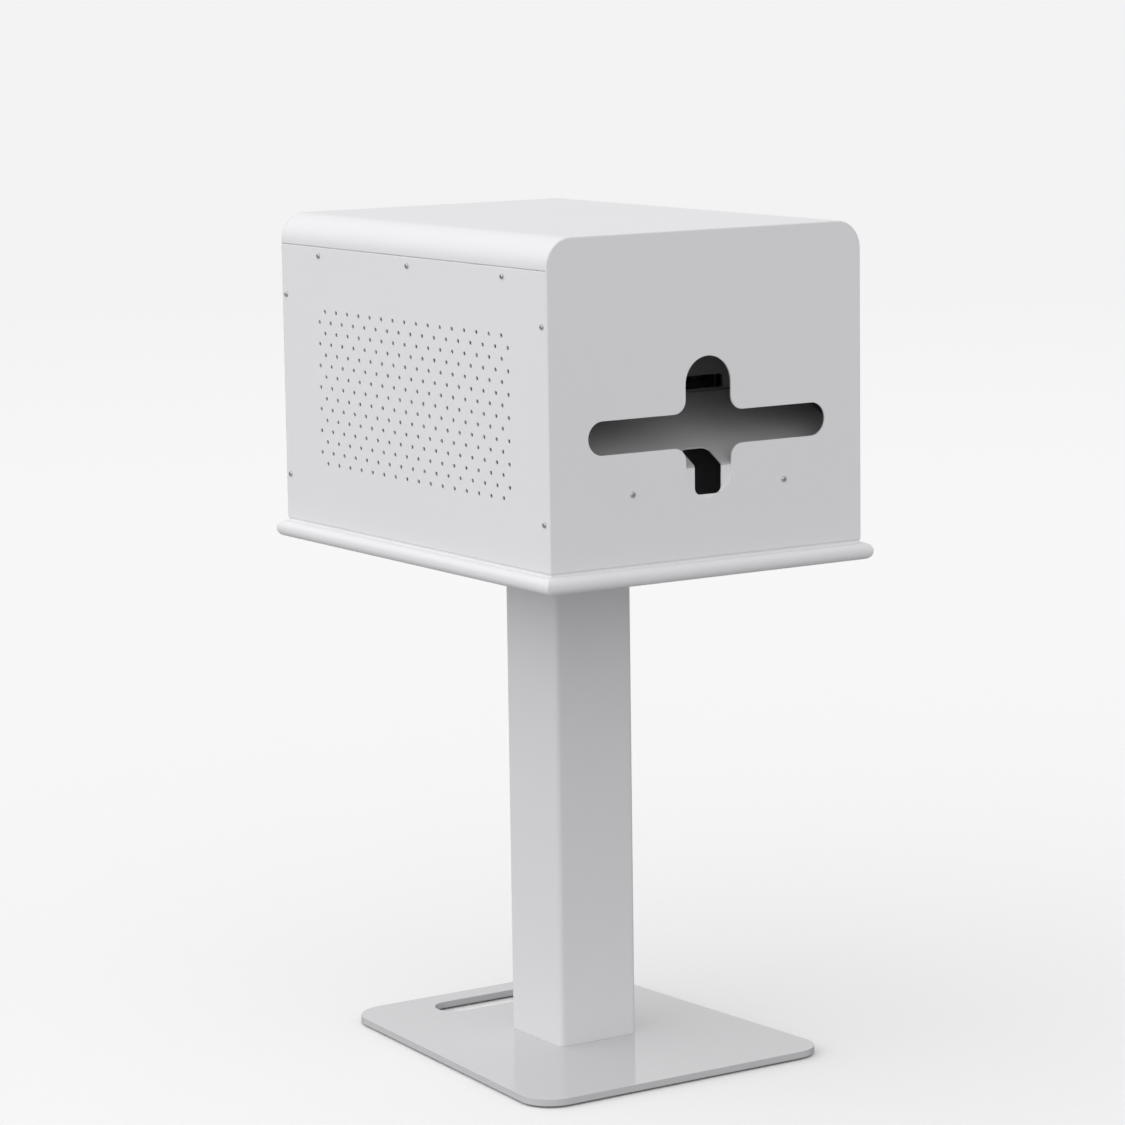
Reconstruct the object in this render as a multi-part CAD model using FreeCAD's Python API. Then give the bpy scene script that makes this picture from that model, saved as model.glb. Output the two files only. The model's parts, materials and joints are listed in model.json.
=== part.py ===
import FreeCAD, Part
import math
import os

# Photo print station: a sheet-steel cabinet that holds a photo printer, on a square post with a floor plate.
# Millimetres. +Z is up and the print slot faces -Y. The origin is on the floor, under the middle of the post.

V = FreeCAD.Vector
X_AXIS = V(1, 0, 0)
Y_AXIS = V(0, 1, 0)
Z_AXIS = V(0, 0, 1)

# ---- Driving sizes ----

# floor plate
base_front = 316.0
base_back = 268.0
base_depth = 367.0
base_thickness = 6.0
base_corner = 32.0
base_edge = 0.8
hand_slot_length = 125.0
hand_slot_width = 38.0
hand_slot_inset = 43.5
pad_diameter = 30.0
pad_thickness = 2.0
pad_inset = 42.0

# post
post_width = 84.0
post_wall = 2.5
post_corner = 5.0
post_length = 455.0
post_plate_thickness = 10.0
post_bolt_spacing = 52.0
cable_hole_height = 62.0
cable_hole = 22.0
cable_bore = 14.0
floor_cable_hole = 44.0
floor_cable_bore = 34.0

# printer, a bought unit that the cabinet is made around
printer_width = 275.0
printer_depth = 330.0
printer_height = 166.0
printer_foot = 4.0
outlet_height = 109.0
outlet_width = 170.0
outlet_gap = 12.0

# room round the printer
side_room = 26.0
chute_room = 95.0
rear_room = 22.0
shelf_height = 30.0
head_room = 85.5

# cabinet sheet metal
sheet = 1.5
lap_gap = 0.1
flange = 14.0
cover_radius = 25.0
cover_side = 2.6
seam_gap = 0.4
lap_height = 18.0
wall_groove_height = 3.5
wall_groove_depth = 1.0

# tray with a rolled rim
tray_height = 15.0
tray_overhang = 8.0
tray_bend = 7.0
tray_groove = 0.6
doubler_size = 150.0
doubler_thickness = 3.0

# print opening, heights above the rim of the tray
slot_length = 250.0
slot_height = 29.5
slot_centre = 114.5
notch_width = 48.0
notch_bottom = 55.0
notch_top = 178.0
opening_fillet = 12.0

# print chute
chute_sheet = 1.2
chute_side_gap = 1.9
chute_bottom = 46.0
chute_bend = 83.0
chute_bend_radius = 2.5
chute_side = 10.0
chute_end_gap = 5.0
finger_notch = 28.0
finger_bottom = 57.5
finger_corner = 6.0
finger_depth = 22.5

# ventilation field in each side panel
vent_hole = 3.8
vent_pitch = 20.0
vent_front = 62.0
vent_rear = 68.0
vent_bottom = 60.5
vent_top = 58.9
filter_thickness = 2.5
filter_border = 12.0

# screws
screw_head = 5.4
screw_head_height = 1.5
screw_shank = 3.4
screw_hole = 3.6
screw_length = 6.0
edge_screw = 8.0
edge_screw_low = 44.5
edge_screw_high = 212.5
top_screw_drop = 8.1
top_screw_pitch = 156.0
chute_screw_pitch = 160.0
chute_screw_height = 64.0
tray_screw_pitch = 100.0
bolt = 8.0
bolt_clearance = 0.1

# rear door, hinge and lock
door_side_border = 22.0
door_low_border = 8.0
door_top_border = 21.0
door_gap = 1.2
door_flange = 6.0
door_corner = 3.0
knuckle = 5.0
knuckle_lift = 0.4
knuckle_count = 9
knuckle_end = 8.0
knuckle_gap = 0.4
hinge_pin_size = 2.5
hinge_leaf_width = 9.0
hinge_leaf_sheet = 1.0
running_gap = 0.05
rivet_count = 4
lock_inset = 22.0
lock_barrel = 18.0
lock_head = 22.0
lock_head_height = 2.5
lock_plug_size = 12.0
cam_length = 30.0
cam_width = 14.0
cam_thickness = 2.0
cam_square = 7.0
cam_nut_height = 2.5
strike_height = 28.0

# inside the printer
case_wall = 1.2
bezel_thickness = 4.0
media_width = 152.0
media_frame_sheet = 1.5
media_frame_gap = 6.5
axle = 6.0
paper_roll_size = 110.0
paper_hub = 30.0
paper_roll_height = 68.0
paper_roll_from_rear = 80.0
ribbon_supply_size = 40.0
ribbon_takeup_size = 26.0
ribbon_core = 14.0
platen_size = 16.0
exit_roller_size = 12.0
paper_gap = 0.4
fan_size = 40.0
fan_depth = 12.0
fan_from_middle = 44.0
fan_blades = 5
motor_size = 36.0
motor_side_gap = 20.0

# ---- Places that follow from the sizes ----

cabinet_width = printer_width + 2 * (side_room + sheet)
cabinet_depth = chute_room + printer_depth + rear_room + 2 * sheet
wall_height = shelf_height + printer_foot + printer_height + head_room + sheet

base_low = pad_thickness
base_top = base_low + base_thickness
tray_low = base_top + post_length
tray_floor = tray_low + sheet
rim = tray_low + tray_height
cabinet_top = rim + wall_height
seam = cabinet_top - cover_radius - cover_side

half_width = cabinet_width / 2
front = -cabinet_depth / 2
rear = cabinet_depth / 2
inner_front = front + sheet
inner_rear = rear - sheet
lap_x = half_width - sheet - lap_gap
lap_end = rear - sheet - flange - 2.0

shelf_top = rim + shelf_height
case_low = shelf_top + printer_foot
case_top = case_low + printer_height
case_front = inner_front + chute_room
case_rear = inner_rear - rear_room
paper_line = case_low + outlet_height

opening_left = -half_width + door_side_border
opening_right = half_width - door_side_border
opening_low = rim + door_low_border
opening_high = cabinet_top - door_top_border
lock_x = opening_right - lock_inset
lock_z = (opening_low + opening_high) / 2
hinge_x = opening_left + door_gap / 2
hinge_y = rear + knuckle_lift + knuckle / 2


# ---- Helpers ----

def box(x0, x1, y0, y1, z0, z1):
    return Part.makeBox(x1 - x0, y1 - y0, z1 - z0, V(x0, y0, z0))


def rod(diameter, length, start, along):
    return Part.makeCylinder(diameter / 2, length, start, along)


def joined(shapes):
    """One solid from touching or overlapping shapes."""
    whole = shapes[0].fuse(shapes[1:])
    return whole.removeSplitter()


def less(shape, tools):
    return shape.cut(tools)


def rounded_wire(width, height, radius):
    """Rectangle with round corners, centred in the XY plane."""
    a = width / 2
    b = height / 2
    k = radius * math.sqrt(0.5)
    edges = []
    corners = [(a, b, 1, 1), (-a, b, -1, 1), (-a, -b, -1, -1), (a, -b, 1, -1)]
    for i, (x, y, sx, sy) in enumerate(corners):
        centre = V(x - sx * radius, y - sy * radius, 0)
        along_x = V(centre.x, y, 0)
        along_y = V(x, centre.y, 0)
        middle = centre + V(sx * k, sy * k, 0)
        start, end = (along_y, along_x) if i % 2 == 0 else (along_x, along_y)
        edges.append((start, middle, end))
    parts = []
    for i, (start, middle, end) in enumerate(edges):
        parts.append(Part.Arc(start, middle, end).toShape())
        following = edges[(i + 1) % 4][0]
        if end.distanceToPoint(following) > 1e-6:
            parts.append(Part.makeLine(end, following))
    return Part.Wire(parts)


def rounded_plate(width, height, radius, thickness):
    return Part.Face(rounded_wire(width, height, radius)).extrude(V(0, 0, thickness))


def stand_up(shape, x, y, z):
    """Turn a plate drawn in XY to stand facing -Y: its thickness runs from y towards -Y."""
    turned = shape.copy()
    turned.rotate(V(0, 0, 0), X_AXIS, 90)
    turned.translate(V(x, y, z))
    return turned


def arch_plate(half, low, high, radius, y0, y1):
    """Upright plate with round top corners, from y0 to y1."""
    k = radius * (1 - math.sqrt(0.5))
    a = V(-half, y0, low)
    b = V(half, y0, low)
    c = V(half, y0, high - radius)
    d = V(half - radius, y0, high)
    e = V(-half + radius, y0, high)
    f = V(-half, y0, high - radius)
    edges = [
        Part.makeLine(a, b),
        Part.makeLine(b, c),
        Part.Arc(c, V(half - k, y0, high - k), d).toShape(),
        Part.makeLine(d, e),
        Part.Arc(e, V(-half + k, y0, high - k), f).toShape(),
        Part.makeLine(f, a),
    ]
    return Part.Face(Part.Wire(edges)).extrude(V(0, y1 - y0, 0))


def arch_ring(y0, y1):
    """Return flange behind the front or rear panel, one lap inside the outer skin."""
    inset = sheet + lap_gap
    outer = arch_plate(lap_x, tray_floor, cabinet_top - inset, cover_radius - inset, y0, y1)
    hole = arch_plate(lap_x - sheet, tray_floor + sheet, cabinet_top - inset - sheet,
                      cover_radius - inset - sheet, y0 - 1, y1 + 1)
    return outer.cut(hole)


def prism_x(points, x0, x1):
    """Solid with a side outline of (y, z) points."""
    corners = [V(x0, y, z) for y, z in points]
    face = Part.Face(Part.makePolygon(corners + corners[:1]))
    return face.extrude(V(x1 - x0, 0, 0))


def edges_at(shape, along, test):
    """Edges parallel to a direction whose middle passes a test."""
    found = []
    for edge in shape.Edges:
        if not isinstance(edge.Curve, Part.Line):
            continue
        direction = (edge.lastVertex().Point - edge.firstVertex().Point).normalize()
        if abs(direction.dot(along)) > 0.999 and test(edge.CenterOfMass):
            found.append(edge)
    return found


def pan_screw(point, outward, length=screw_length):
    """Pan head with a cross recess; the head seats at the point."""
    head = rod(screw_head, screw_head_height, V(0, 0, 0), Z_AXIS)
    rim_edge = [e for e in head.Edges if e.Closed and e.CenterOfMass.z > screw_head_height / 2]
    head = head.makeFillet(screw_head_height / 2, rim_edge)
    arm = screw_head * 0.23
    blade = screw_head * 0.06
    depth = screw_head_height * 0.6
    cross = [
        box(-arm, arm, -blade, blade, depth, screw_head_height + 1),
        box(-blade, blade, -arm, arm, depth, screw_head_height + 1),
    ]
    screw = joined([less(head, cross), rod(screw_shank, length, V(0, 0, -length), Z_AXIS)])
    screw.Placement = FreeCAD.Placement(point, FreeCAD.Rotation(Z_AXIS, outward))
    return screw


def hex_prism(flats, height, point, along):
    corner = flats / math.sqrt(3)
    points = [V(corner * math.cos(math.radians(60 * i)), corner * math.sin(math.radians(60 * i)), 0)
              for i in range(7)]
    solid = Part.Face(Part.makePolygon(points)).extrude(V(0, 0, height))
    solid.Placement = FreeCAD.Placement(point, FreeCAD.Rotation(Z_AXIS, along))
    return solid


def grommet(wall, hole, bore, lip, lip_thickness, point, along):
    """Rubber ring that grips a wall: two lips with the wall between them."""
    outer = hole + 2 * lip
    start = point - along * lip_thickness
    ring = joined([
        rod(outer, lip_thickness, start, along),
        rod(hole - 2 * running_gap, wall, point, along),
        rod(outer, lip_thickness, point + along * wall, along),
    ])
    return ring.cut(rod(bore, wall + 2 * lip_thickness + 2, start - along, along))


def save(name, shapes):
    solids = []
    for shape in shapes if isinstance(shapes, list) else [shapes]:
        solids.extend(shape.Solids)
    for solid in solids:
        if not solid.isValid() or solid.Volume <= 0:
            raise ValueError(name + " is not a sound solid")
    body = solids[0] if len(solids) == 1 else Part.makeCompound(solids)
    body.exportStep(os.path.join("parts", name + ".step"))


# ---- Floor plate and post ----

def half_base_width(y):
    """Half the width of the floor plate at a distance y from the middle."""
    share = (y + base_depth / 2) / base_depth
    return (base_front + (base_back - base_front) * share) / 2


def square_points(spacing):
    return [(sx * spacing / 2, sy * spacing / 2) for sx in (-1, 1) for sy in (-1, 1)]


def base_plate():
    y0 = -base_depth / 2
    y1 = base_depth / 2
    corners = [V(-base_front / 2, y0, base_low), V(base_front / 2, y0, base_low),
               V(base_back / 2, y1, base_low), V(-base_back / 2, y1, base_low)]
    plate = Part.Face(Part.makePolygon(corners + corners[:1])).extrude(V(0, 0, base_thickness))
    plate = plate.makeFillet(base_corner, edges_at(plate, Z_AXIS, lambda c: True))
    top_edges = [e for e in plate.Edges if e.CenterOfMass.z > base_top - 0.01]
    plate = plate.makeFillet(base_edge, top_edges)
    slot = rounded_plate(hand_slot_length, hand_slot_width, hand_slot_width / 2 - 0.001, base_thickness + 2)
    slot.translate(V(0, y1 - hand_slot_inset, base_low - 1))
    tools = [slot]
    for x, y in square_points(post_bolt_spacing):
        tools.append(rod(bolt + bolt_clearance, base_thickness + 2, V(x, y, base_low - 1), Z_AXIS))
        tools.append(countersink(x, y, bolt_clearance / 2))
    return less(plate, tools)


def countersink(x, y, gap):
    """Cone of a flat-head bolt, widest at the underside of the floor plate."""
    depth = bolt / 2
    return Part.makeCone(bolt + gap, bolt / 2 + gap, depth, V(x, y, base_low), Z_AXIS)


def base_pads():
    pads = []
    for y in (-base_depth / 2 + pad_inset, base_depth / 2 - pad_inset):
        reach = half_base_width(y) - pad_inset
        for x in (-reach, reach):
            pads.append(rod(pad_diameter, pad_thickness, V(x, y, 0), Z_AXIS))
    return pads


def base_bolts():
    bolts = []
    for x, y in square_points(post_bolt_spacing):
        shank = rod(bolt, base_thickness + post_plate_thickness, V(x, y, base_low), Z_AXIS)
        bolts.append(joined([shank, countersink(x, y, 0)]))
    return bolts


def post_tube():
    outer = rounded_plate(post_width, post_width, post_corner, post_length)
    inside = post_width - 2 * post_wall
    inner = rounded_plate(inside, inside, post_corner - post_wall, post_length + 2)
    inner.translate(V(0, 0, -1))
    tube = outer.cut(inner)
    tube.translate(V(0, 0, base_top))
    hole_start = V(0, post_width / 2 - 2 * post_wall, base_top + cable_hole_height)
    hole = rod(cable_hole, 3 * post_wall, hole_start, Y_AXIS)
    return tube.cut(hole)


def post_plate(low, cable):
    """Plate welded inside an end of the post, with holes for four bolts."""
    inside = post_width - 2 * post_wall
    plate = rounded_plate(inside, inside, post_corner, post_plate_thickness)
    plate.translate(V(0, 0, low))
    tools = [rod(bolt + bolt_clearance, post_plate_thickness + 2, V(x, y, low - 1), Z_AXIS)
             for x, y in square_points(post_bolt_spacing)]
    if cable:
        tools.append(rod(floor_cable_hole, post_plate_thickness + 2, V(0, 0, low - 1), Z_AXIS))
    return less(plate, tools)


def head_bolts():
    seat = tray_floor + doubler_thickness
    length = seat - tray_low + post_plate_thickness
    bolts = []
    for x, y in square_points(post_bolt_spacing):
        head = hex_prism(1.6 * bolt, 0.65 * bolt, V(x, y, seat), Z_AXIS)
        bolts.append(joined([head, rod(bolt, length, V(x, y, seat - length), Z_AXIS)]))
    return bolts


def floor_grommet():
    """Rubber bushing round the cable hole between the cabinet and the post."""
    seat = tray_floor + doubler_thickness
    length = seat - tray_low + post_plate_thickness
    sleeve = rod(floor_cable_hole - 2 * running_gap, length, V(0, 0, seat - length), Z_AXIS)
    lip = rod(floor_cable_hole + 8, 2.0, V(0, 0, seat), Z_AXIS)
    bore = rod(floor_cable_bore, length + 6, V(0, 0, seat - length - 2), Z_AXIS)
    return joined([sleeve, lip]).cut(bore)


# ---- Cabinet ----

side_screw_places = [
    (front + edge_screw, rim + edge_screw_low), (front + edge_screw, rim + edge_screw_high),
    (rear - edge_screw, rim + edge_screw_low), (rear - edge_screw, rim + edge_screw_high),
    (-top_screw_pitch, seam - top_screw_drop), (0, seam - top_screw_drop),
    (top_screw_pitch, seam - top_screw_drop),
]
tray_screw_y = rear - sheet - flange / 2
tray_screw_places = [(x, sy * tray_screw_y) for x in (-tray_screw_pitch, 0, tray_screw_pitch)
                     for sy in (-1, 1)]
shelf_half = printer_width / 2 - 4.0
shelf_foot = 10.0
shelf_front = case_front - 6.0
shelf_rear = case_rear + 6.0
shelf_screw_places = [(sx * (shelf_half + shelf_foot / 2), y) for sx in (-1, 1)
                      for y in (shelf_front + 30, shelf_rear - 30)]


def screw_bores(places, low, high, diameter=screw_hole):
    return [rod(diameter, high - low, V(x, y, low), Z_AXIS) for x, y in places]


def cabinet_tray():
    """Pan under the cabinet; its rim is rolled outwards, up and back to the wall."""
    x = half_width + tray_overhang
    y = rear + tray_overhang
    outer = box(-x, x, -y, y, tray_low, rim)
    outer = outer.makeFillet(tray_bend, edges_at(outer, X_AXIS, lambda c: True)
                             + edges_at(outer, Y_AXIS, lambda c: True))
    inner = box(-x + sheet, x - sheet, -y + sheet, y - sheet, tray_floor, rim - sheet)
    inner = inner.makeFillet(tray_bend - sheet, edges_at(inner, X_AXIS, lambda c: True)
                             + edges_at(inner, Y_AXIS, lambda c: True))
    gx = half_width + tray_groove
    gy = rear + tray_groove
    tools = [inner, box(-gx, gx, -gy, gy, tray_floor + 1, rim + 1)]
    tools.append(rod(floor_cable_hole, 4, V(0, 0, tray_low - 1), Z_AXIS))
    tools += screw_bores(square_points(post_bolt_spacing), tray_low - 1, rim, bolt + bolt_clearance)
    tools += screw_bores(tray_screw_places + shelf_screw_places, tray_low - 1, rim)
    return less(outer, tools)


def tray_doubler():
    plate = rounded_plate(doubler_size, doubler_size, 8.0, doubler_thickness)
    plate.translate(V(0, 0, tray_floor))
    tools = [rod(floor_cable_hole, 6, V(0, 0, tray_floor - 1), Z_AXIS)]
    tools += screw_bores(square_points(post_bolt_spacing), tray_floor - 1, rim, bolt + bolt_clearance)
    return less(plate, tools)


def wall_grooves():
    """Rods that press a shallow round groove into the walls, just above the rim of the tray."""
    radius = (wall_groove_height ** 2 / 4 + wall_groove_depth ** 2) / (2 * wall_groove_depth)
    out = radius - wall_groove_depth
    z = rim + wall_groove_height / 2
    reach = cabinet_width + cabinet_depth
    rods = []
    for side in (-1, 1):
        rods.append(rod(2 * radius, reach, V(-reach / 2, side * (rear + out), z), X_AXIS))
        rods.append(rod(2 * radius, reach, V(side * (half_width + out), -reach / 2, z), Y_AXIS))
    return rods


def panel_with_ring(outer_y, inner_y):
    """Front or rear panel: a flat face with a return flange all round."""
    face = arch_plate(half_width, tray_floor, cabinet_top, cover_radius, outer_y, inner_y)
    inward = 1 if inner_y > outer_y else -1
    ring = arch_ring(min(inner_y, inner_y + inward * flange), max(inner_y, inner_y + inward * flange))
    side = [rod(screw_hole, cabinet_width, V(-half_width, y, z), X_AXIS)
            for y, z in side_screw_places if abs(y - outer_y) < flange]
    bottom = screw_bores([p for p in tray_screw_places if abs(p[1] - outer_y) < flange],
                         tray_floor - 1, tray_floor + sheet + 1)
    return less(joined([face, ring]), side + bottom + wall_grooves())


def print_opening():
    """Cross-shaped opening: a long slot for the print and a notch for the fingers."""
    depth = 3 * sheet
    slot = stand_up(rounded_plate(slot_length, slot_height, slot_height / 2 - 0.001, depth),
                    0, inner_front + sheet, rim + slot_centre)
    notch_height = notch_top - notch_bottom
    notch = stand_up(rounded_plate(notch_width, notch_height, notch_width / 2 - 0.001, depth),
                     0, inner_front + sheet, rim + (notch_top + notch_bottom) / 2)
    cross = joined([slot, notch])
    inner_z = slot_height / 2
    centre_z = rim + slot_centre
    corners = edges_at(cross, Y_AXIS, lambda c: abs(abs(c.x) - notch_width / 2) < 0.01
                       and abs(abs(c.z - centre_z) - inner_z) < 0.01)
    return cross.makeFillet(opening_fillet, corners)


chute_screw_places = [(sx * chute_screw_pitch / 2, rim + chute_screw_height) for sx in (-1, 1)]


def front_panel():
    holes = [rod(screw_hole, 4 * sheet, V(x, front - sheet, z), Y_AXIS) for x, z in chute_screw_places]
    return less(panel_with_ring(front, inner_front), [print_opening()] + holes)


def rear_frame():
    width = opening_right - opening_left
    height = opening_high - opening_low
    opening = stand_up(rounded_plate(width, height, door_corner, 4 * sheet),
                       0, rear + sheet, (opening_low + opening_high) / 2)
    return panel_with_ring(rear, inner_rear).cut(opening)


def top_cover():
    """Top with round shoulders; a joggled lap on each side reaches down inside the side panel."""
    y0 = inner_front + lap_gap
    y1 = inner_rear - lap_gap
    outer = arch_plate(half_width, seam, cabinet_top, cover_radius, y0, y1)
    inner = arch_plate(half_width - sheet, seam - 1, cabinet_top - sheet, cover_radius - sheet,
                       y0 - 1, y1 + 1)
    pieces = [outer.cut(inner)]
    for side in (-1, 1):
        lap = sorted((side * lap_x, side * (lap_x - sheet)))
        step = sorted((side * (half_width - sheet / 2), side * (lap_x - sheet)))
        pieces.append(box(lap[0], lap[1], -lap_end, lap_end, seam - lap_height, seam + 1))
        pieces.append(box(step[0], step[1], -lap_end, lap_end, seam, seam + sheet))
    holes = [rod(screw_hole, cabinet_width, V(-half_width, y, z), X_AXIS)
             for y, z in side_screw_places if z > seam - lap_height]
    return less(joined(pieces), holes)


def vent_places():
    """Staggered holes: full rows and rows one hole shorter, half a pitch apart."""
    low = rim + vent_bottom
    high = seam - vent_top
    rows = int((high - low) / (vent_pitch / 2) + 1.001)
    columns = int((cabinet_depth - vent_front - vent_rear) / vent_pitch + 1.001)
    places = []
    for row in range(rows):
        short = 1 - row % 2
        for column in range(columns - short):
            y = front + vent_front + (column + short / 2) * vent_pitch
            places.append((y, low + row * vent_pitch / 2))
    return places


def side_panel(side):
    """Flat perforated side that stands in the tray's rim; side is -1 for left and 1 for right."""
    skin = sorted((side * half_width, side * (half_width - sheet)))
    panel = box(skin[0], skin[1], inner_front + lap_gap, inner_rear - lap_gap, tray_floor, seam - seam_gap)
    start = side * (half_width - 2 * sheet)
    tools = [rod(vent_hole, 3 * sheet, V(start, y, z), X_AXIS * side) for y, z in vent_places()]
    tools += [rod(screw_hole, 3 * sheet, V(start, y, z), X_AXIS * side) for y, z in side_screw_places]
    return less(panel, tools + wall_grooves())


def vent_filters():
    """Dust filter of black foam on the inner face of each perforated side."""
    pads = []
    for side in (-1, 1):
        face = half_width - sheet
        x = sorted((side * face, side * (face - filter_thickness)))
        pads.append(box(x[0], x[1], front + vent_front - filter_border, rear - vent_rear + filter_border,
                        rim + vent_bottom - filter_border, seam - vent_top + filter_border))
    return pads


def side_screws(side):
    return [pan_screw(V(side * half_width, y, z), X_AXIS * side) for y, z in side_screw_places]


def tray_screws():
    return [pan_screw(V(x, y, tray_floor + sheet), Z_AXIS, 2 * sheet) for x, y in tray_screw_places]


def shelf_screws():
    return [pan_screw(V(x, y, tray_floor + sheet), Z_AXIS, 2 * sheet) for x, y in shelf_screw_places]


# ---- Print chute and printer shelf ----

def print_chute():
    """Flange behind the front panel, bent back into a ramp that rises to the printer's outlet."""
    t = chute_sheet
    y0 = inner_front + lap_gap
    y_end = case_front - chute_end_gap
    bend_z = rim + chute_bend
    rise = paper_line - outlet_gap / 2 - 2.0 - bend_z
    angle = math.atan2(rise, y_end - y0)
    lower = t * (1 - math.sin(angle)) * math.tan(angle) - t * math.cos(angle)
    end_low = (y_end + t * math.sin(angle), bend_z + rise - t * math.cos(angle))
    points = [(y0, rim + chute_bottom), (y0, bend_z), (y_end, bend_z + rise), end_low,
              (y0 + t, bend_z + lower), (y0 + t, rim + chute_bottom)]
    half = lap_x - sheet - chute_side_gap
    sheet_body = prism_x(points, -half, half)
    bend = edges_at(sheet_body, X_AXIS, lambda c: abs(c.y - y0) < 0.01 and abs(c.z - bend_z) < 0.01)
    sheet_body = sheet_body.makeFillet(chute_bend_radius, bend)
    side_low = 10.0
    side_points = [(y0 + side_low, bend_z + side_low * math.tan(angle) - t / 2),
                   (y_end, bend_z + rise - t / 2), (y_end, bend_z + rise - chute_side),
                   (y0 + side_low, bend_z + side_low * math.tan(angle) - chute_side)]
    pieces = [sheet_body]
    for side in (-1, 1):
        edge = sorted((side * half, side * (half - t)))
        pieces.append(prism_x(side_points, edge[0], edge[1]))
    notch_height = 2 * (chute_bend - finger_bottom)
    drop = stand_up(rounded_plate(finger_notch, notch_height, finger_corner, 4 * t), 0, y0 + 2 * t, bend_z)
    back = rounded_plate(finger_notch, 2 * finger_depth, finger_corner, finger_depth + 10)
    back.translate(V(0, y0, bend_z - 5))
    holes = [rod(screw_hole, 4 * t, V(x, y0 - t, z), Y_AXIS) for x, z in chute_screw_places]
    return less(joined(pieces), [drop, back] + holes)


def chute_screws():
    return [pan_screw(V(x, front, z), -Y_AXIS, 2 * screw_length) for x, z in chute_screw_places]


def chute_nuts():
    nuts = []
    seat = inner_front + lap_gap + chute_sheet
    for x, z in chute_screw_places:
        nut = hex_prism(7.0, 2.8, V(x, seat, z), Y_AXIS)
        nuts.append(nut.cut(rod(screw_hole, 6, V(x, seat - 1, z), Y_AXIS)))
    return nuts


def printer_shelf():
    """Top plate with two legs turned down and feet turned out onto the tray floor."""
    pieces = [box(-shelf_half, shelf_half, shelf_front, shelf_rear, shelf_top - sheet, shelf_top)]
    for side in (-1, 1):
        leg = sorted((side * shelf_half, side * (shelf_half - sheet)))
        foot = sorted((side * (shelf_half - sheet), side * (shelf_half + shelf_foot)))
        pieces.append(box(leg[0], leg[1], shelf_front, shelf_rear, tray_floor, shelf_top))
        pieces.append(box(foot[0], foot[1], shelf_front, shelf_rear, tray_floor, tray_floor + sheet))
    return less(joined(pieces), screw_bores(shelf_screw_places, tray_floor - 1, tray_floor + 3))


# ---- Rear door, hinge and lock ----

def rear_door():
    width = opening_right - opening_left - 2 * door_gap
    height = opening_high - opening_low - 2 * door_gap
    middle = (opening_low + opening_high) / 2
    plate = stand_up(rounded_plate(width, height, door_corner, sheet), 0, rear, middle)
    outer = rounded_plate(width, height, door_corner, door_flange + sheet)
    inner = rounded_plate(width - 2 * sheet, height - 2 * sheet, door_corner - sheet, door_flange + sheet + 2)
    inner.translate(V(0, 0, -1))
    ring = stand_up(outer.cut(inner), 0, rear, middle)
    hole = rod(lock_barrel + 0.2, 4 * sheet, V(lock_x, inner_rear - sheet, lock_z), Y_AXIS)
    return joined([plate, ring]).cut(hole)


hinge_low = opening_low + knuckle_end
hinge_high = opening_high - knuckle_end
knuckle_pitch = (hinge_high - hinge_low) / knuckle_count
rivet_places = [hinge_low + (i + 0.5) * (hinge_high - hinge_low) / rivet_count for i in range(rivet_count)]
leaf_start = knuckle / 2 + 0.4


def hinge_leaf(side, bore):
    """Leaf with every second knuckle; side is -1 for the frame's leaf and 1 for the door's."""
    strip = sorted((hinge_x + side * leaf_start, hinge_x + side * (leaf_start + hinge_leaf_width)))
    pieces = [box(strip[0], strip[1], rear, rear + hinge_leaf_sheet, hinge_low, hinge_high)]
    first = 0 if side < 0 else 1
    tab = sorted((hinge_x, hinge_x + side * (leaf_start + 1)))
    for i in range(first, knuckle_count, 2):
        low = hinge_low + i * knuckle_pitch + knuckle_gap / 2
        high = low + knuckle_pitch - knuckle_gap
        pieces.append(rod(knuckle, high - low, V(hinge_x, hinge_y, low), Z_AXIS))
        pieces.append(box(tab[0], tab[1], rear + knuckle_lift, rear + hinge_leaf_sheet, low, high))
    bores = [rod(bore, hinge_high - hinge_low + 2, V(hinge_x, hinge_y, hinge_low - 1), Z_AXIS)]
    return less(joined(pieces), bores)


def hinge_rivets(side):
    x = hinge_x + side * (leaf_start + hinge_leaf_width / 2)
    rivets = []
    for z in rivet_places:
        head = rod(4.0, 0.8, V(x, rear + hinge_leaf_sheet, z), Y_AXIS)
        edge = [e for e in head.Edges if e.Closed and e.CenterOfMass.y > rear + hinge_leaf_sheet + 0.4]
        rivets.append(head.makeFillet(0.6, edge))
    return rivets


def hinge_pin():
    return rod(hinge_pin_size, hinge_high - hinge_low, V(hinge_x, hinge_y, hinge_low), Z_AXIS)


cam_rear = rear - sheet - door_flange - 0.6
lock_inner_end = cam_rear + 0.4


def lock_body():
    head = rod(lock_head, lock_head_height, V(lock_x, rear, lock_z), Y_AXIS)
    rim_edge = [e for e in head.Edges if e.Closed and e.CenterOfMass.y > rear + lock_head_height / 2]
    head = head.makeFillet(1.0, rim_edge)
    barrel = rod(lock_barrel, rear - lock_inner_end, V(lock_x, lock_inner_end, lock_z), Y_AXIS)
    bore = rod(lock_plug_size, 40, V(lock_x, rear - 30, lock_z), Y_AXIS)
    return joined([head, barrel]).cut(bore)


def lock_nut():
    nut = hex_prism(lock_head, 4.0, V(lock_x, inner_rear - 4.0, lock_z), Y_AXIS)
    return nut.cut(rod(lock_barrel + 0.1, 6, V(lock_x, inner_rear - 5.0, lock_z), Y_AXIS))


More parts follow.
